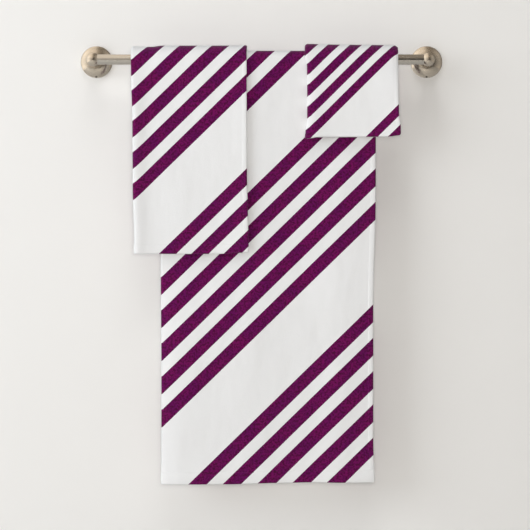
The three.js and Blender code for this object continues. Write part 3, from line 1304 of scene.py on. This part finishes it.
@dataclass(frozen=True)
class Lamp:
    """A soft square light that faces the middle of the towels."""

    name: str
    azimuth_deg: float
    elevation_deg: float
    size: float
    power: float
    colour: tuple[float, float, float] = (1.0, 1.0, 1.0)
    mirrored: bool = False
    distance: float = 3.6
    aim: tuple[float, float, float] = (0.0, -0.05, -0.35)

    def build(self) -> None:
        """Hang the light at its angles round the towels and turn it to its aim."""
        a, e = math.radians(self.azimuth_deg), math.radians(self.elevation_deg)
        away = Vector((math.sin(a) * math.cos(e), -math.cos(a) * math.cos(e), math.sin(e)))
        data = bpy.data.lights.new(self.name, "AREA")
        data.shape = "SQUARE"
        data.size = self.size
        data.energy = self.power
        data.color = self.colour
        lamp = bpy.data.objects.new(self.name, data)
        lamp.location = Vector(self.aim) + away * self.distance
        lamp.rotation_euler = away.to_track_quat("Z", "Y").to_euler()
        lamp.visible_glossy = self.mirrored
        bpy.context.scene.collection.objects.link(lamp)


@dataclass(frozen=True)
class Room:
    """Light from all round: even for cloth and paint, banded as a furnished room is for metal."""

    even: tuple[float, float, float, float] = (0.97, 0.98, 1.0, 1)
    even_strength: float = 0.2
    warm: tuple[float, float, float, float] = (1.0, 0.87, 0.72, 1)
    by_height: tuple[tuple[float, float], ...] = (
        (-1.0, 0.42),
        (-0.85, 0.50),
        (-0.5, 0.56),
        (-0.28, 0.36),
        (-0.12, 0.10),
        (0.08, 0.06),
        (0.34, 0.22),
        (0.62, 0.52),
        (0.86, 0.60),
        (1.0, 0.45),
    )
    by_side: tuple[tuple[float, float], ...] = (
        (-1.0, 1.0),
        (-0.12, 1.12),
        (0.04, 0.72),
        (0.35, 0.36),
        (1.0, 0.42),
    )
    glow: tuple[tuple[float, float], ...] = (
        (-1.0, 1.25),
        (-0.8, 1.0),
        (-0.5, 0.5),
        (-0.12, 0.36),
        (0.06, 0.02),
        (0.4, 0.06),
        (0.7, 0.25),
        (1.0, 0.4),
    )

    glow_colour: tuple[float, float, float] = (1.0, 0.97, 0.92)
    seen: tuple[float, float, float, float] = (0.86, 0.86, 0.85, 1)

    def band(self, g: Graph, value: bpy.types.NodeSocket, stops: tuple) -> bpy.types.NodeSocket:
        """Grey ramp over a direction's component from -1 to 1, at half its brightness.

        Args:
            g: Graph to build in.
            value: Component of the direction.
            stops: Pairs of component and brightness.

        Returns:
            Half the brightness, because a ramp's colours end at 1.
        """
        spread = g.add("MapRange", {0: value, 1: -1.0}).outputs[0]
        node = g.add("ValToRGB", {0: spread})
        ramp = node.color_ramp
        while len(ramp.elements) < len(stops):
            ramp.elements.new(0.5)
        for element, (place, grey) in zip(ramp.elements, stops):
            element.position = (place + 1) / 2
            element.color = (grey / 2, grey / 2, grey / 2, 1)
        return node.outputs[0]

    def build(self) -> None:
        """Make the world and use it."""
        g = Graph(bpy.data.worlds.new("studio_room"))
        plain = g.tree.nodes["Background"]
        plain.inputs[0].default_value = self.even
        plain.inputs[1].default_value = self.even_strength
        way = g.add("SeparateXYZ", {0: g.add("TexCoord").outputs["Generated"]})
        heights = self.band(g, way.outputs[2], self.by_height)
        sides = self.band(g, way.outputs[0], self.by_side)
        tinted = g.add("VectorMath", {0: heights, 1: sides}, operation="MULTIPLY").outputs[0]
        # Both bands are halved, so their product is made up by four and the glow by two.
        full_warm = [4 * x for x in self.warm[:3]]
        warm = g.add("VectorMath", {0: tinted, 1: full_warm}, operation="MULTIPLY").outputs[0]
        full_glow = [2 * x for x in self.glow_colour]
        glow = self.band(g, way.outputs[0], self.glow)
        inputs = {0: glow, 1: full_glow, 2: warm}
        glowing = g.add("VectorMath", inputs, operation="MULTIPLY_ADD").outputs[0]
        mirrored = g.add("Background", {0: glowing}).outputs[0]
        seen = g.add("Background", {0: self.seen}).outputs[0]
        ray = g.add("LightPath").outputs
        inputs = {0: ray["Is Glossy Ray"], 1: plain.outputs[0], 2: mirrored}
        choose = g.add("MixShader", inputs).outputs[0]
        final = g.add("MixShader", {0: ray["Is Camera Ray"], 1: choose, 2: seen}).outputs[0]
        g.put(g.tree.nodes["World Output"].inputs[0], final)
        bpy.context.scene.world = g.owner


@dataclass
class Studio:
    """Camera, lights, backdrop wall and floor."""

    lens: float = 145.3
    across: float = 82 * MM
    elevation_deg: float = 1.38
    distance: float = 3.76
    target: tuple[float, float, float] = (8 * MM, -90 * MM, -362.2 * MM)
    floor_z: float = -1.25
    half_width: float = 3.0
    wall_top: float = 2.2
    floor_front: float = -5.0
    floor_back: float = 3.0
    lamps: tuple[Lamp, ...] = (
        Lamp("key_from_left", -84, 8, 1.0, 29.0, (0.97, 1.0, 1.04)),
        Lamp("upper_left", -50, 14, 2.2, 43.5, (0.955, 1.0, 1.055)),
        Lamp("front", 2, 2, 0.4, 33.5, (1.0, 0.952, 0.895)),
        Lamp("overhead", 0, 62, 1.6, 30.0),
        Lamp("rear_right", 118, 14, 1.6, 14.0),
        Lamp("rear_left", 205, 12, 2.0, 34.0),
    )

    def build_camera(self) -> None:
        """Long lens straight at the wall from a little to the right, shifted back on the towels."""
        e = math.radians(self.elevation_deg)
        back = Vector((0.0, -math.cos(e), math.sin(e)))
        data = bpy.data.cameras.new("camera")
        data.lens = self.lens
        data.sensor_width = 36.0
        data.clip_end = 60.0
        data.shift_x = -self.across * self.lens / (data.sensor_width * self.distance)
        camera = bpy.data.objects.new("camera", data)
        camera.location = Vector(self.target) + back * self.distance + Vector((self.across, 0, 0))
        camera.rotation_euler = back.to_track_quat("Z", "Y").to_euler()
        bpy.context.scene.collection.objects.link(camera)
        bpy.context.scene.camera = camera

    def plane(self, name: str, corners: list[tuple[float, float, float]]) -> bpy.types.Object:
        """Flat stage piece.

        Args:
            name: Name of the piece.
            corners: Its four corners in order.

        Returns:
            The piece.
        """
        piece = mesh_object(name, np.array(corners), [[0, 1, 2, 3]])
        return piece

    def build(self) -> None:
        """Set up the whole studio."""
        self.build_camera()
        for lamp in self.lamps:
            lamp.build()
        Room().build()
        half, foot, top = self.half_width, self.floor_z, self.wall_top
        corners = [(-half, 0, foot), (half, 0, foot), (half, 0, top), (-half, 0, top)]
        wall = self.plane("backdrop_wall", corners)
        wall.data.materials.append(PaintedWall().make("wall_paint"))
        wall.visible_shadow = False
        wall.visible_diffuse = False
        wall.visible_glossy = False
        front, back = self.floor_front, self.floor_back
        corners = [(-half, front, foot), (half, front, foot), (half, back, foot), (-half, back, foot)]
        floor = self.plane("floor", corners)
        floor.data.materials.append(PaleFloor().make("floor_paint"))
        bpy.context.scene.view_settings.view_transform = "Standard"


def make_towels() -> list[Towel]:
    """The three towels with the sizes of their cuts and the way each one hangs.

    Returns:
        Bath towel, hand towel and washcloth.
    """
    bath = Towel(
        name="bath_towel",
        flat_width=0.762,
        flat_length=1.524,
        inner_radius=9.2 * MM,
        ply=3.0 * MM,
        ply_gap=0.2 * MM,
        left=Wander(((0, -0.1748), (0.5, -0.1748), (0.72, -0.1740), (1, -0.1744))),
        right=Wander(((0, 0.2031), (0.33, 0.2029), (0.58, 0.1986), (0.9, 0.1988), (1, 0.2010))),
        drop_front=Wander(
            ((0, 0.7503), (0.3, 0.7497), (0.55, 0.7473), (0.7, 0.7461), (0.85, 0.7467), (1, 0.7462))
        ),
        drop_back=Wander(((0, 0.7430), (1, 0.7450))),
        fold_radius=2.3 * MM,
        fold_outward=-1.0,
        slack=Slack(5.2 * MM, 1.0 * MM, 18 * MM, 0.33, 0.45),
        side_hem=10.0 * MM,
        end_hem=22.0 * MM,
        finish=TerryFinish(Stripes(229.0 * MM, 411.6 * MM, 31.45 * MM, 27.3 * MM, 0.9755)),
        rests_on=["bar"],
        wave=(1.6 * MM, 0.34, 0.4),
        ridges=(Ridge(0.142, 0.042, 3.2 * MM, 0.12, 0.26), Ridge(-0.004, 0.03, 0.9 * MM, 0.12, 0.26)),
        hem_extra=1.8 * MM,
    )
    hand = Towel(
        name="hand_towel",
        flat_width=0.406,
        flat_length=0.740,
        inner_radius=16.9 * MM,
        ply=3.4 * MM,
        ply_gap=0.8 * MM,
        left=Wander(((0, -0.2263), (0.34, -0.2232), (0.66, -0.2228), (0.92, -0.2204), (1, -0.2204))),
        right=Wander(((0, -0.0241), (0.62, -0.0234), (0.8, -0.0218), (1, -0.0204))),
        drop_front=Wander(((0, 0.3427), (0.7, 0.3428), (1, 0.3403))),
        drop_back=Wander(((0, 0.3360), (1, 0.3380))),
        fold_radius=4.7 * MM,
        fold_outward=1.0,
        slack=Slack(0.9 * MM, 0.0, 20 * MM, 0.015, 0.12),
        side_hem=9.0 * MM,
        end_hem=17.0 * MM,
        finish=TerryFinish(Stripes(193.9 * MM, 386.9 * MM, 29.6 * MM, 25.65 * MM, 0.9705)),
        rests_on=["bath_towel_cloth", "bar"],
        wave=(1.0 * MM, 0.24, 2.2),
        ridges=(Ridge(-0.016, 0.040, 3.0 * MM, 0.02, 0.09),),
        pinched_share=0.21,
        settle=15 * MM,
        hem_extra=1.4 * MM,
        pitch=6.0 * MM,
    )
    wash = Towel(
        name="washcloth",
        flat_width=0.330,
        flat_length=0.330,
        inner_radius=16.9 * MM,
        ply=4.0 * MM,
        ply_gap=2.0 * MM,
        left=Wander(((0, 0.0797), (0.08, 0.0837), (0.4, 0.0841), (0.72, 0.0841), (0.9, 0.0812), (1, 0.0804))),
        right=Wander(((0, 0.2421), (0.45, 0.2424), (0.7, 0.2431), (0.9, 0.2462), (1, 0.2464))),
        drop_front=Wander(((0, 0.1405), (0.14, 0.1378), (0.85, 0.1372), (1, 0.1345))),
        drop_back=Wander(((0, 0.1340), (1, 0.1330))),
        fold_radius=5.2 * MM,
        fold_outward=1.0,
        slack=Slack(2.0 * MM, 0.0, 12 * MM, 0.0, 0.06),
        side_hem=8.0 * MM,
        end_hem=9.0 * MM,
        finish=TerryFinish(Stripes(347.3 * MM, 267.0 * MM, 20.8 * MM, 17.35 * MM, 0.9895)),
        rests_on=["bath_towel_cloth", "bar"],
        wave=(1.0 * MM, 0.2, 1.0),
        ridges=(Ridge(0.246, 0.046, 5.4 * MM, 0.004, 0.05),),
        inner_edge=-8.0 * MM,
        edge_curl=3.8 * MM,
        top_fall=1.8 * MM,
        settle=24 * MM,
        hem_extra=1.2 * MM,
        pitch=4.5 * MM,
    )
    return [bath, hand, wash]


def main() -> None:
    """Build the studio, the rail and the towels, and report each piece."""
    logging.basicConfig(level=logging.INFO, format="%(name)s: %(message)s")
    Studio().build()
    rail = Rail()
    rail.build()
    rail.dress()
    for name, piece in rail.pieces.items():
        log.info("rail piece %s, %d faces", name, len(piece.data.polygons))
    for towel in make_towels():
        towel.build()
        towel.dress()
        for piece in towel.pieces:
            log.info("%s piece %s, %d faces", towel.name, piece.name, len(piece.data.polygons))


if __name__ == "__main__":
    main()
